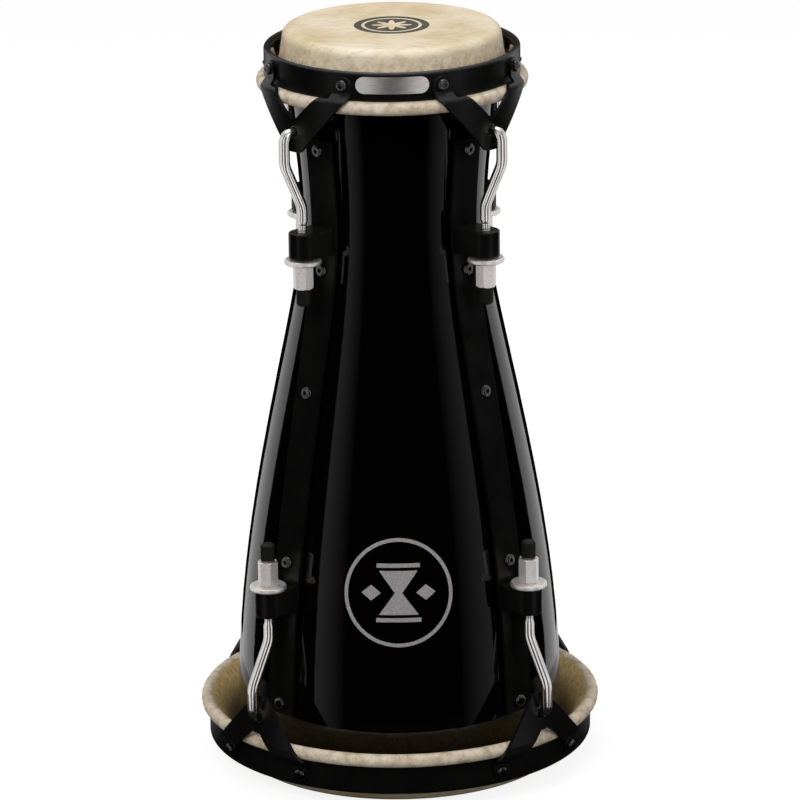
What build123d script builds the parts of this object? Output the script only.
from build123d import *
from math import asin, atan2, cos, degrees, hypot, radians, sin, sqrt, tan
from types import SimpleNamespace
import os

# Large bata drum: a moulded hourglass shell with a rawhide head at each end. Each head is drawn
# tight by a steel rim, four V-shaped claws and four hooked rods with tuning nuts.
# Millimetres. The large head's face stands on Z = 0, the drum's axis is Z and its front is -Y.
# A depth is measured along the axis from a head's playing face towards the middle of the drum.

os.makedirs("parts", exist_ok=True)

# Shell
drum_height = 719.0
shell_wall = 6.0
edge_round = 2.5
large_edge_radius = 156.5
small_edge_radius = 100.0
waist_height = 522.0
waist_radius = 88.8
bell = [(100.0, 155.2), (200.0, 145.9), (300.0, 129.6), (400.0, 109.4), (460.0, 97.2)]
neck_height = 610.0
neck_radius = 92.9

# Heads
skin_thickness = 2.0
skin_bend_radius = 5.0
skin_overhang = 1.5
skin_wrap_angle = 250.0
hoop_wire_radius = 4.0
rim_depth = 17.0
rim_sheet = 3.8
rim_bead_radius = 3.2
small_rim_radius = 120.8
small_hoop_set_out = 1.2
small_hoop_depth = 50.5
large_rim_radius = 185.6
large_hoop_set_out = 1.4
large_hoop_depth = 52.0

# Claws
claw_thickness = 3.0
claw_bend_radius = 4.0
claw_bolt_spread = 47.0
claw_tab_radius = 8.0
claw_shoulder_depth = 42.0
claw_shoulder_half_width = 28.0
claw_valley_depth = 69.0
claw_valley_round = 8.0
claw_shoulder_round = 3.0
claw_notch_round = 2.0
claw_tip_depth = 98.0
claw_tip_half_width = 8.0
small_bolt_depth = 29.5
large_bolt_depth = 31.0
small_tip_lean = 1.9
large_tip_lean = 11.4

# Claw bolts and their nuts
bolt_radius = 3.0
bolt_head_radius = 5.5
bolt_head_height = 3.6
bolt_socket_flats = 3.6
bolt_socket_depth = 1.8
bolt_nut_flats = 10.0
bolt_nut_height = 3.4

# Tension rods
shank_radius = 5.2
thread_radius = 4.0
hook_depth = 79.0
hook_bend_radius = 9.0
hook_reach = 10.0
crank_bend_radius = 22.0
crank_start_depth = 109.0
crank_end_depth = 152.0
shank_end_depth = 166.0
shank_taper = 4.0
small_hook_set_out = 13.1
small_rod_set_out = 32.5
large_hook_set_out = 7.5
large_rod_set_out = 26.8

# Tuning nuts, washers and caps
bracket_depth = 176.5
bracket_height = 26.0
bracket_width = 26.0
bracket_end_margin = 12.5
bracket_edge_round = 2.0
washer_radius = 17.5
washer_thickness = 5.0
nut_flats = 17.0
nut_height = 23.5
nut_corner_chamfer = 1.2
cap_radius = 6.8
cap_length = 16.0
cap_end_wall = 3.0
slack_travel = 1.0

# Side plates
plate_width = 32.0
plate_thickness = 3.0
plate_standoff = 2.2
plate_end_round = 8.0
plate_large_depth = 74.0
plate_small_depth = 92.0
screw_large_depths = [84.0, 222.0]
screw_middle_height = 383.0
screw_small_depths = [220.0, 102.0]
screw_radius = 3.0
screw_head_radius = 6.2
screw_head_height = 3.8
screw_socket_flats = 4.0
screw_socket_depth = 2.0
screw_nut_flats = 10.0
screw_nut_height = 5.0
screw_flange_radius = 7.0
screw_flange_thickness = 1.4
spacer_radius = 7.5

# Badge plate
badge_length = 68.0
badge_width = 16.0
badge_thickness = 1.2
badge_depth = 28.5

# Rounds, as shares of the radius, height or thickness that they take up
tab_round_share = 0.95
tip_round_share = 0.8
screw_head_round_share = 0.8
rod_tip_round_share = 0.4
bracket_end_round_share = 0.9
washer_edge_round_share = 0.4
cap_end_round_share = 0.45

# Clearances
seat_gap = 0.1
moving_gap = 0.3
thread_gap = 0.05
hole_gap = 0.3

# Lugs, as angles about Z from +X: front left, front right, back right, back left
lug_angles = [-135.0, -45.0, 45.0, 135.0]
front_angle = -90.0

# Where a hole's seam lies round its own axis, off the level through its centre
hole_seam_angle = 45.0

small = SimpleNamespace(
    name="small",
    face=drum_height,
    inward=-1,
    edge_radius=small_edge_radius,
    rim_radius=small_rim_radius,
    hoop_radius=small_rim_radius + small_hoop_set_out,
    hoop_depth=small_hoop_depth,
    bolt_depth=small_bolt_depth,
    tip_lean=small_tip_lean,
    hook_set_out=small_hook_set_out,
    rod_set_out=small_rod_set_out,
)
large = SimpleNamespace(
    name="large",
    face=0.0,
    inward=1,
    edge_radius=large_edge_radius,
    rim_radius=large_rim_radius,
    hoop_radius=large_rim_radius + large_hoop_set_out,
    hoop_depth=large_hoop_depth,
    bolt_depth=large_bolt_depth,
    tip_lean=large_tip_lean,
    hook_set_out=large_hook_set_out,
    rod_set_out=large_rod_set_out,
)
heads = [small, large]


def height(head, depth):
    """Height above the floor of a depth below a head's playing face."""
    return head.face + head.inward * depth


def along(head, points):
    """Points given as (radius, depth) turned into (radius, height)."""
    return [(radius, height(head, depth)) for radius, depth in points]


def outward(angle):
    """Unit vector that points away from the drum's axis."""
    return Vector(cos(radians(angle)), sin(radians(angle)), 0)


def upright_plane(angle):
    """Plane through the drum's axis: x is the radius and y is the height."""
    direction = outward(angle)
    return Plane(origin=(0, 0, 0), x_dir=direction, z_dir=direction.cross(Vector(0, 0, 1)))


def facing_plane(angle, radius):
    """Plane square to a radius: x runs round the drum and y is the height."""
    direction = outward(angle)
    return Plane(
        origin=direction * radius,
        x_dir=Vector(0, 0, 1).cross(direction),
        z_dir=direction,
    )


def finish(piece, name):
    """Label a finished piece and write it."""
    piece.part.label = name
    export_step(piece.part, f"parts/{name}.step")


# Shell outline
shell_bottom = skin_thickness
shell_top = drum_height - skin_thickness
outline_points = (
    [(large_edge_radius, shell_bottom)]
    + [(radius, level) for level, radius in bell]
    + [(waist_radius, waist_height), (neck_radius, neck_height), (small_edge_radius, shell_top)]
)
with BuildLine() as shell_outline:
    Spline(*outline_points)
outline_edge = shell_outline.edges()[0]


def outline_place(level):
    """Point and outward normal of the shell's outline at a height."""
    low, high = 0.0, 1.0
    for _ in range(40):
        middle = (low + high) / 2
        if (outline_edge @ middle).Y < level:
            low = middle
        else:
            high = middle
    tangent = outline_edge % low
    return outline_edge @ low, Vector(tangent.Y, -tangent.X)


def off_shell(level, distance):
    """(radius, height) at a distance outside the shell's outer face, square to it."""
    point, normal = outline_place(level)
    moved = point + normal * distance
    return (moved.X, moved.Y)


def radius_off_shell(level, distance):
    """Radius at exactly this height of a face that lies at a distance outside the shell."""
    start = level
    for _ in range(8):
        radius, reached = off_shell(start, distance)
        start += level - reached
    return radius


for head in heads:
    bracket_middle = height(head, bracket_depth + bracket_height / 2)
    head.rod_radius = outline_place(bracket_middle)[0].X + head.rod_set_out


def shell_plane(angle, level, distance):
    """Plane on the shell's outside at a height, with z along the face's normal."""
    point, normal = outline_place(level)
    base = outward(angle) * point.X + Vector(0, 0, point.Y)
    direction = outward(angle) * normal.X + Vector(0, 0, normal.Y)
    across = Vector(0, 0, 1).cross(outward(angle))
    return Plane(origin=base + direction * distance, x_dir=across, z_dir=direction)


screw_heights = (
    [height(large, depth) for depth in screw_large_depths]
    + [screw_middle_height]
    + [height(small, depth) for depth in screw_small_depths]
)


def screw_planes(angle, distance):
    """Planes of one side plate's screws."""
    return [shell_plane(angle, level, distance) for level in screw_heights]


def all_screw_planes(distance):
    """Planes of every side plate's screws."""
    return [plane for angle in lug_angles for plane in screw_planes(angle, distance)]


# Shell: an open-ended moulding with a rounded bearing edge at each end
inner_levels = [level for level, _ in bell] + [waist_height, neck_height]
inner_points = (
    [(large_edge_radius - shell_wall, shell_bottom)]
    + [off_shell(level, -shell_wall) for level in inner_levels]
    + [(small_edge_radius - shell_wall, shell_top)]
)
with BuildPart() as shell:
    with BuildSketch(Plane.XZ):
        with BuildLine():
            Spline(*outline_points)
            Line(outline_points[-1], inner_points[-1])
            Spline(*reversed(inner_points))
            Line(inner_points[0], outline_points[0])
        make_face()
        fillet(vertices().sort_by(Axis.Y)[:2].sort_by(Axis.X)[-1], edge_round)
        fillet(vertices().sort_by(Axis.Y)[-2:].sort_by(Axis.X)[-1], edge_round)
    revolve(axis=Axis.Z)
    with Locations(*all_screw_planes(0)):
        Cylinder(
            screw_radius + hole_gap,
            4 * shell_wall,
            rotation=(0, 0, hole_seam_angle),
            mode=Mode.SUBTRACT,
        )
finish(shell, "shell")


def skin_path(head):
    """Numbers of a skin's middle line: corner, slope, hoop centre and wrap radius."""
    corner = (head.edge_radius + skin_overhang, skin_thickness / 2)
    wrap_radius = hoop_wire_radius + moving_gap + skin_thickness / 2
    across = head.hoop_radius - corner[0]
    down = head.hoop_depth - corner[1]
    slope = atan2(down, across) + asin(wrap_radius / hypot(across, down))
    return corner, slope, wrap_radius


def skin_side(head, offset):
    """One side of a skin, offset from its middle line towards the playing side."""
    corner, slope, wrap_radius = skin_path(head)
    radius = wrap_radius - offset
    start = slope + radians(90)
    turns = [start - radians(skin_wrap_angle) * share for share in (0, 0.5, 1)]
    arc = [
        (head.hoop_radius + radius * cos(turn), head.hoop_depth + radius * sin(turn))
        for turn in turns
    ]
    face = (0, corner[1] - offset)
    bend = (corner[0] + offset * tan(slope / 2), corner[1] - offset)
    return along(head, [face, bend] + arc)


def make_skin(head):
    """Rawhide head: flat over the bearing edge, sloped past the rim and tucked round its hoop."""
    half = skin_thickness / 2
    playing = skin_side(head, half)
    inside = skin_side(head, -half)
    with BuildPart() as skin:
        with BuildSketch(Plane.XZ):
            with BuildLine():
                FilletPolyline(*playing[:3], radius=skin_bend_radius + half)
                ThreePointArc(*playing[2:])
                Line(playing[4], inside[4])
                ThreePointArc(inside[4], inside[3], inside[2])
                FilletPolyline(inside[2], inside[1], inside[0], radius=skin_bend_radius - half)
                Line(inside[0], playing[0])
            make_face()
        revolve(axis=Axis.Z)
    finish(skin, f"{head.name}_skin")


def make_flesh_hoop(head):
    """Wire hoop inside the skin's tuck."""
    with BuildPart() as hoop:
        with BuildSketch(Plane.XZ):
            with Locations(*along(head, [(head.hoop_radius, head.hoop_depth)])):
                Circle(hoop_wire_radius)
        revolve(axis=Axis.Z)
    finish(hoop, f"{head.name}_flesh_hoop")


def tucked_radius():
    """Section radius of the skin's tuck round its hoop."""
    return hoop_wire_radius + moving_gap + skin_thickness


def rim_end_depth(head):
    """Depth at which the rim seats on the tucked hoop."""
    aside = head.hoop_radius - head.rim_radius
    return head.hoop_depth - sqrt(tucked_radius() ** 2 - aside**2) - moving_gap


def claw_bolt_angle(head):
    """Angle between a lug and its claw's bolts."""
    return degrees(asin(claw_bolt_spread / head.rim_radius))


def bolt_planes(head, radius):
    """Planes of a head's claw bolts, square to the rim."""
    turn = claw_bolt_angle(head)
    planes = []
    for lug in lug_angles:
        for angle in (lug - turn, lug + turn):
            base = facing_plane(angle, radius)
            level = Vector(0, 0, height(head, head.bolt_depth))
            planes.append(Plane(origin=base.origin + level, x_dir=base.x_dir, z_dir=base.z_dir))
    return planes


def make_rim(head):
    """Steel rim with a rounded bead at its playing edge, drilled for the claws' bolts."""
    end = rim_end_depth(head)
    inner = head.rim_radius - rim_sheet
    bead_centre = (head.rim_radius - rim_bead_radius, rim_depth + rim_bead_radius)
    with BuildPart() as rim:
        with BuildSketch(Plane.XZ):
            with BuildLine():
                Polyline(
                    *along(
                        head,
                        [
                            (inner, rim_depth + rim_bead_radius),
                            (head.rim_radius, rim_depth + rim_bead_radius),
                            (head.rim_radius, end),
                            (inner, end),
                        ],
                    ),
                    close=True,
                )
            make_face()
            with Locations(*along(head, [bead_centre])):
                Circle(rim_bead_radius)
        revolve(axis=Axis.Z)
        with Locations(*bolt_planes(head, head.rim_radius)):
            Cylinder(bolt_radius + hole_gap, 4 * rim_sheet, mode=Mode.SUBTRACT)
    finish(rim, f"{head.name}_rim")


def claw_path(head):
    """Middle line of a claw's bend as (radius, depth): off the rim, over the hoop, to the tip."""
    tab = head.rim_radius + seat_gap + claw_thickness / 2
    over = head.hoop_radius + tucked_radius() + 2 * moving_gap + claw_thickness / 2
    rise = over - tab
    top = head.hoop_depth - tucked_radius() + claw_thickness / 2
    return [
        (tab, rim_depth),
        (tab, top - rise),
        (over, top),
        (over, head.hoop_depth + claw_thickness),
        (over - head.tip_lean, claw_tip_depth + claw_thickness),
    ]


def claw_outline(head):
    """Claw's outline as (distance round the drum, depth), with the round of each corner."""
    tab_top = head.bolt_depth - claw_tab_radius
    tab_inner = claw_bolt_spread - claw_tab_radius
    tab_outer = claw_bolt_spread + claw_tab_radius
    half = [
        ((tab_inner, claw_shoulder_depth), claw_notch_round),
        ((tab_inner, tab_top), tab_round_share * claw_tab_radius),
        ((tab_outer, tab_top), tab_round_share * claw_tab_radius),
        ((tab_outer, claw_shoulder_depth + claw_thickness), claw_shoulder_round),
        ((claw_tip_half_width, claw_tip_depth), tip_round_share * claw_tip_half_width),
    ]
    start = [((claw_shoulder_half_width, claw_shoulder_depth), claw_shoulder_round)]
    right = start + half
    left = [((-across, depth), rounding) for (across, depth), rounding in reversed(right)]
    valley = [((0.0, claw_valley_depth), claw_valley_round)]
    corners = valley + right + left
    points = along(head, [point for point, _ in corners])
    return points, [rounding for _, rounding in corners]


def web_radius_at(head, depth):
    """Radius of a claw's middle line at a depth on its web."""
    (top_radius, top_depth), (end_radius, end_depth) = claw_path(head)[3:]
    share = (depth - top_depth) / (end_depth - top_depth)
    return top_radius + (end_radius - top_radius) * share


def make_claw(head, angle, name):
    """V-shaped steel claw, bent over the tucked hoop, with a hole for the rod's hook."""
    points, rounds = claw_outline(head)
    hole_radius = shank_radius + 2 * hole_gap
    with BuildPart() as claw:
        with BuildSketch(Plane.XZ):
            with BuildLine():
                FilletPolyline(*along(head, claw_path(head)), radius=claw_bend_radius)
                offset(amount=claw_thickness / 2, side=Side.BOTH)
            make_face()
        revolve(axis=Axis.Z)
        with BuildSketch(facing_plane(angle, 0)):
            with BuildLine():
                FilletPolyline(*points, radius=rounds, close=True)
            make_face()
        extrude(amount=2 * head.rim_radius, mode=Mode.INTERSECT)
        with BuildSketch(facing_plane(angle, 0)):
            with Locations((0, height(head, hook_depth))):
                Circle(hole_radius)
        extrude(amount=2 * head.rim_radius, mode=Mode.SUBTRACT)
        with Locations(*bolt_planes(head, head.rim_radius)):
            Cylinder(bolt_radius + hole_gap, 6 * claw_thickness, mode=Mode.SUBTRACT)
    finish(claw, name)


def button_screw(radius, head_radius, head_height, length, flats, socket):
    """Round-head screw whose head stands on z = 0 and whose shank runs down."""
    base = (Align.CENTER, Align.CENTER, Align.MIN)
    hang = (Align.CENTER, Align.CENTER, Align.MAX)
    with BuildPart() as screw:
        Cylinder(head_radius, head_height, align=base)
        fillet(screw.edges().group_by(Axis.Z)[-1], screw_head_round_share * head_height)
        Cylinder(radius, length, align=hang)
        with BuildSketch(Plane.XY.offset(head_height)):
            RegularPolygon(flats / 2, 6, major_radius=False)
        extrude(amount=-socket, mode=Mode.SUBTRACT)
    return screw.part


def hex_nut(flats, tall, bore, flange_radius=0.0, flange=0.0):
    """Hexagon nut on z = 0, with a flange under it where one is given."""
    with BuildPart() as nut:
        with BuildSketch():
            RegularPolygon(flats / 2, 6, major_radius=False)
        extrude(amount=tall)
        if flange:
            Cylinder(flange_radius, flange, align=(Align.CENTER, Align.CENTER, Align.MIN))
        Cylinder(
            bore, tall, align=(Align.CENTER, Align.CENTER, Align.MIN), mode=Mode.SUBTRACT
        )
    return nut.part


def make_claw_fasteners(head):
    """Bolts of a head's claws, and their nuts inside the rim."""
    outer = head.rim_radius + seat_gap + claw_thickness + seat_gap
    inner = head.rim_radius - rim_sheet - 2 * seat_gap
    bolt = button_screw(
        bolt_radius,
        bolt_head_radius,
        bolt_head_height,
        outer - inner + bolt_nut_height,
        bolt_socket_flats,
        bolt_socket_depth,
    )
    nut = hex_nut(bolt_nut_flats, bolt_nut_height, bolt_radius + thread_gap)
    with BuildPart() as bolts:
        with Locations(*bolt_planes(head, outer)):
            add(bolt)
    finish(bolts, f"{head.name}_rim_bolts")
    with BuildPart() as nuts:
        with Locations(*bolt_planes(head, inner - bolt_nut_height)):
            add(nut)
    finish(nuts, f"{head.name}_rim_nuts")


def nut_depth():
    """Depth at which a tuning nut starts, on its washer."""
    return bracket_depth + bracket_height + seat_gap + washer_thickness + seat_gap


def cap_depth():
    """Depth at which a rod's cap starts, clear of its nut when the head is slack."""
    return nut_depth() + nut_height + slack_travel + moving_gap


def rod_end_depth():
    """Depth of a rod's threaded end, inside its cap."""
    return cap_depth() + cap_length - cap_end_wall - seat_gap


def make_rod(head, angle, name):
    """Tension rod: hooked through the claw, cranked inwards and threaded at its end."""
    web = web_radius_at(head, hook_depth)
    corners = along(
        head,
        [
            (web - hook_reach, hook_depth),
            (web + head.hook_set_out, hook_depth),
            (web + head.hook_set_out, crank_start_depth),
            (head.rod_radius, crank_end_depth),
            (head.rod_radius, shank_end_depth),
        ],
    )
    end = height(head, rod_end_depth())
    shank_end = height(head, shank_end_depth)
    with BuildPart() as rod:
        with BuildLine(upright_plane(angle)) as middle_line:
            FilletPolyline(
                *corners, radius=[hook_bend_radius, crank_bend_radius, crank_bend_radius]
            )
        start = middle_line.wires()[0]
        with BuildSketch(Plane(origin=start @ 0, z_dir=start % 0)):
            Circle(shank_radius)
        sweep(path=start)
        tip = rod.faces().sort_by_distance(start @ 0)[0]
        fillet(tip.edges(), rod_tip_round_share * shank_radius)
        centre = outward(angle) * head.rod_radius
        with BuildSketch(Plane(origin=(centre.X, centre.Y, shank_end))):
            Circle(shank_radius)
        with BuildSketch(
            Plane(origin=(centre.X, centre.Y, shank_end + head.inward * shank_taper))
        ):
            Circle(thread_radius)
        loft()
        with BuildSketch(
            Plane(origin=(centre.X, centre.Y, shank_end + head.inward * shank_taper))
        ):
            Circle(thread_radius)
        extrude(amount=end - shank_end - head.inward * shank_taper)
    finish(rod, name)


def rod_plane(head, angle, depth):
    """Level plane on a rod's axis at a depth, with z pointing to the middle of the drum."""
    centre = outward(angle) * head.rod_radius
    return Plane(
        origin=(centre.X, centre.Y, height(head, depth)),
        x_dir=outward(angle),
        z_dir=(0, 0, head.inward),
    )


def make_tuning_nut(head, angle, name):
    """Tall hexagon tuning nut with chamfered ends."""
    with BuildPart() as barrel:
        with BuildSketch(rod_plane(head, angle, nut_depth())):
            Circle(nut_flats / sqrt(3))
        extrude(amount=nut_height)
        chamfer(barrel.edges().filter_by(GeomType.CIRCLE), nut_corner_chamfer)
    with BuildPart() as nut:
        with BuildSketch(rod_plane(head, angle, nut_depth())):
            RegularPolygon(nut_flats / 2, 6, major_radius=False)
            Circle(thread_radius + thread_gap, mode=Mode.SUBTRACT)
        extrude(amount=nut_height)
        add(barrel.part, mode=Mode.INTERSECT)
    finish(nut, name)


def make_washers(head):
    """Round washers under the tuning nuts, domed towards their edge."""
    start = bracket_depth + bracket_height + seat_gap
    bore = thread_radius + hole_gap
    with BuildPart() as washers:
        for angle in lug_angles:
            with BuildSketch(rod_plane(head, angle, start)):
                Circle(washer_radius)
                Circle(bore, mode=Mode.SUBTRACT)
            extrude(amount=washer_thickness)
        rounded = washers.edges().filter_by(
            lambda edge: edge.geom_type == GeomType.CIRCLE and edge.radius > 2 * bore
        )
        fillet(rounded, washer_edge_round_share * washer_thickness)
    finish(washers, f"{head.name}_nut_washers")


def make_caps(head):
    """Rubber caps pushed on the rods' threaded ends."""
    hollow = rod_end_depth() - cap_depth() + seat_gap
    with BuildPart() as caps:
        for angle in lug_angles:
            with BuildSketch(rod_plane(head, angle, cap_depth())):
                Circle(cap_radius)
            extrude(amount=cap_length)
        far = caps.edges().group_by(Axis.Z)[-1 if head.inward > 0 else 0]
        fillet(far, cap_end_round_share * cap_radius)
        for angle in lug_angles:
            with BuildSketch(rod_plane(head, angle, cap_depth())):
                Circle(thread_radius + thread_gap)
            extrude(amount=hollow, mode=Mode.SUBTRACT)
    finish(caps, f"{head.name}_rod_caps")


plate_inner = plate_standoff
plate_outer = plate_standoff + plate_thickness


def plate_levels():
    """Heights between a side plate's ends at which its bend is set."""
    bottom = height(large, plate_large_depth)
    top = height(small, plate_small_depth)
    between = [level for level in inner_levels if bottom < level < top]
    return [bottom] + between + [top]


def make_side_plate(angle, name):
    """Flat steel strip bent along the shell, drilled for its screws."""
    levels = plate_levels()
    near = [off_shell(level, plate_inner) for level in levels]
    far = [off_shell(level, plate_outer) for level in levels]
    bottom = levels[0] - plate_thickness
    top = levels[-1] + plate_thickness
    with BuildPart() as plate:
        with BuildSketch(upright_plane(angle)):
            with BuildLine():
                Spline(*near)
                Line(near[-1], far[-1])
                Spline(*reversed(far))
                Line(far[0], near[0])
            make_face()
        extrude(amount=plate_width / 2, both=True)
        with BuildSketch(facing_plane(angle, 0)):
            with Locations((0, (bottom + top) / 2)):
                RectangleRounded(plate_width, top - bottom, plate_end_round)
        extrude(amount=2 * large_edge_radius, mode=Mode.INTERSECT)
        with Locations(*screw_planes(angle, 0)):
            Cylinder(screw_radius + hole_gap, 6 * plate_outer, mode=Mode.SUBTRACT)
    finish(plate, name)


def make_bracket(head, angle, name):
    """Lug bracket on a side plate, with a rounded end round its rod."""
    near_level = height(head, bracket_depth)
    middle_level = height(head, bracket_depth + bracket_height / 2)
    far_level = height(head, bracket_depth + bracket_height)
    end = head.rod_radius + bracket_end_margin
    levels = (near_level, middle_level, far_level)
    root = [(radius_off_shell(level, plate_outer + seat_gap), level) for level in levels]
    with BuildPart() as bracket:
        with BuildSketch(upright_plane(angle)):
            with BuildLine():
                ThreePointArc(*root)
                Polyline(root[2], (end, far_level), (end, near_level), root[0])
            make_face()
        extrude(amount=bracket_width / 2, both=True)
        outer_corners = bracket.edges().filter_by(Axis.Z).filter_by(
            lambda edge: hypot(edge.center().X, edge.center().Y) > head.rod_radius
        )
        fillet(outer_corners, bracket_end_round_share * bracket_width / 2)
        rims = bracket.faces().filter_by(Axis.Z).edges().filter_by(
            lambda edge: hypot(edge.center().X, edge.center().Y) > root[0][0] + 2 * bracket_edge_round
        )
        fillet(rims, bracket_edge_round)
        with BuildSketch(rod_plane(head, angle, bracket_depth)):
            Circle(thread_radius + hole_gap)
        extrude(amount=bracket_height, mode=Mode.SUBTRACT)
    finish(bracket, name)


def make_side_plate_fasteners():
    """Screws of the side plates, their rubber spacers and their nuts inside the shell."""
    screw = button_screw(
        screw_radius,
        screw_head_radius,
        screw_head_height,
        plate_outer + shell_wall + 4 * seat_gap + screw_nut_height,
        screw_socket_flats,
        screw_socket_depth,
    )
    nut = hex_nut(
        screw_nut_flats,
        screw_nut_height,
        screw_radius + thread_gap,
        screw_flange_radius,
        screw_flange_thickness,
    )
    with BuildPart() as screws:
        with Locations(*all_screw_planes(plate_outer + seat_gap)):
            add(screw)
    finish(screws, "side_plate_screws")
    with BuildPart() as spacers:
        with BuildSketch(*all_screw_planes(seat_gap)):
            Circle(spacer_radius)
            Circle(screw_radius + hole_gap, mode=Mode.SUBTRACT)
        extrude(amount=plate_standoff - 2 * seat_gap)
    finish(spacers, "side_plate_spacers")
    inside = [
        Plane(origin=plane.origin, x_dir=plane.x_dir, z_dir=-plane.z_dir)
        for plane in all_screw_planes(-shell_wall - 3 * seat_gap)
    ]
    with BuildPart() as nuts:
        with Locations(*inside):
            add(nut)
    finish(nuts, "side_plate_nuts")


def make_badge():
    """Bare badge plate with round ends, bent to the small rim's front."""
    inner = small.rim_radius + seat_gap
    level = height(small, badge_depth)
    with BuildPart() as badge:
        with BuildSketch(Plane.XY.offset(level - badge_width)):
            Circle(inner + badge_thickness)
            Circle(inner, mode=Mode.SUBTRACT)
        extrude(amount=2 * badge_width)
        with BuildSketch(facing_plane(front_angle, 0)):
            with Locations((0, level)):
                SlotOverall(badge_length, badge_width)
        extrude(amount=2 * small.rim_radius, mode=Mode.INTERSECT)
    finish(badge, "rim_badge")


for head in heads:
    make_skin(head)
    make_flesh_hoop(head)
    make_rim(head)
    make_claw_fasteners(head)
    make_washers(head)
    make_caps(head)
    for number, angle in enumerate(lug_angles, start=1):
        make_claw(head, angle, f"{head.name}_claw_{number}")
        make_rod(head, angle, f"{head.name}_tension_rod_{number}")
        make_tuning_nut(head, angle, f"{head.name}_tuning_nut_{number}")
        make_bracket(head, angle, f"{head.name}_bracket_{number}")

for number, angle in enumerate(lug_angles, start=1):
    make_side_plate(angle, f"side_plate_{number}")
make_side_plate_fasteners()
make_badge()
